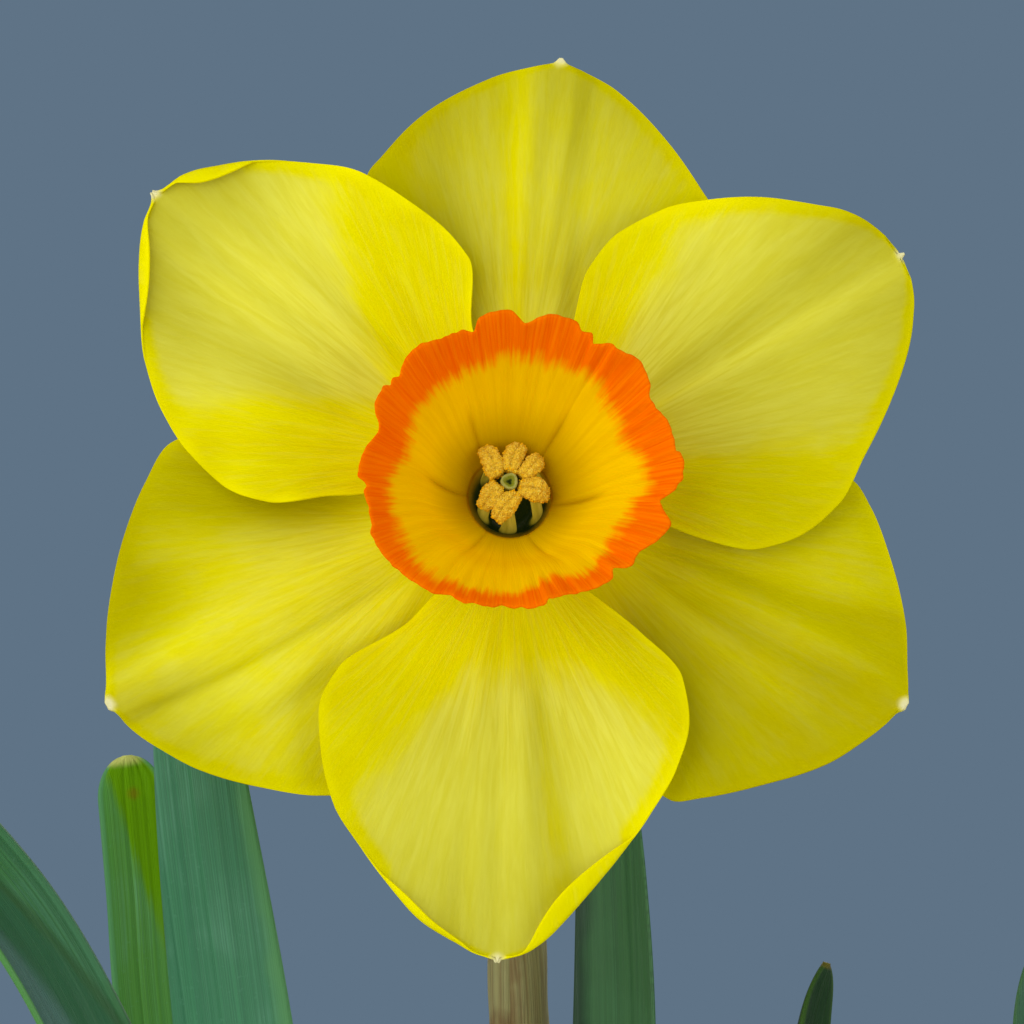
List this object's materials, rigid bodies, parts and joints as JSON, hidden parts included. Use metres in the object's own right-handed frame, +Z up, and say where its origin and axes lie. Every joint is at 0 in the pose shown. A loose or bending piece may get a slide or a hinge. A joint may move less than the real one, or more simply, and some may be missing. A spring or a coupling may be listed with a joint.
{
  "type": "potted narcissus",
  "caption": "Large-cupped yellow and orange daffodil with strap leaves, growing from its bulb in a plain clay pot of soil.",
  "frame": {"origin": "middle of the pot's flat underside", "axes": "+Z up; -Y is the way the flower faces; +X is to the right seen from the front"},
  "size_m": [0.164, 0.164, 0.4742],
  "materials": {
    "clay": "matt unglazed",
    "earth": "crumbly",
    "tunic": "papery",
    "membrane": "thin and silky",
    "leaf": "waxy satin",
    "stem": "waxy satin",
    "dry_sheath": "papery",
    "tube": "satin",
    "tepal": "silky satin",
    "cup": "silky satin",
    "pollen": "granular",
    "stigma": "satin"
  },
  "bodies": {
    "root": {"pot": "clay", "soil": "earth", "bulb_main": "tunic", "bulb_offset": "tunic", "sheath_main": "membrane", "sheath_offset": "membrane", "leaf_far_left": "leaf", "leaf_broad": "leaf", "leaf_narrow": "leaf", "leaf_right": "leaf", "leaf_offset_left": "leaf", "leaf_offset_right": "leaf", "flower_stem": "stem", "spathe": "dry_sheath", "perianth_tube": "tube", "tepal_top": "tepal", "tepal_upper_left": "tepal", "tepal_lower_left": "tepal", "tepal_bottom": "tepal", "tepal_lower_right": "tepal", "tepal_upper_right": "tepal", "corona": "cup", "stamens": "pollen", "pistil": "stigma"}
  },
  "joints": []
}
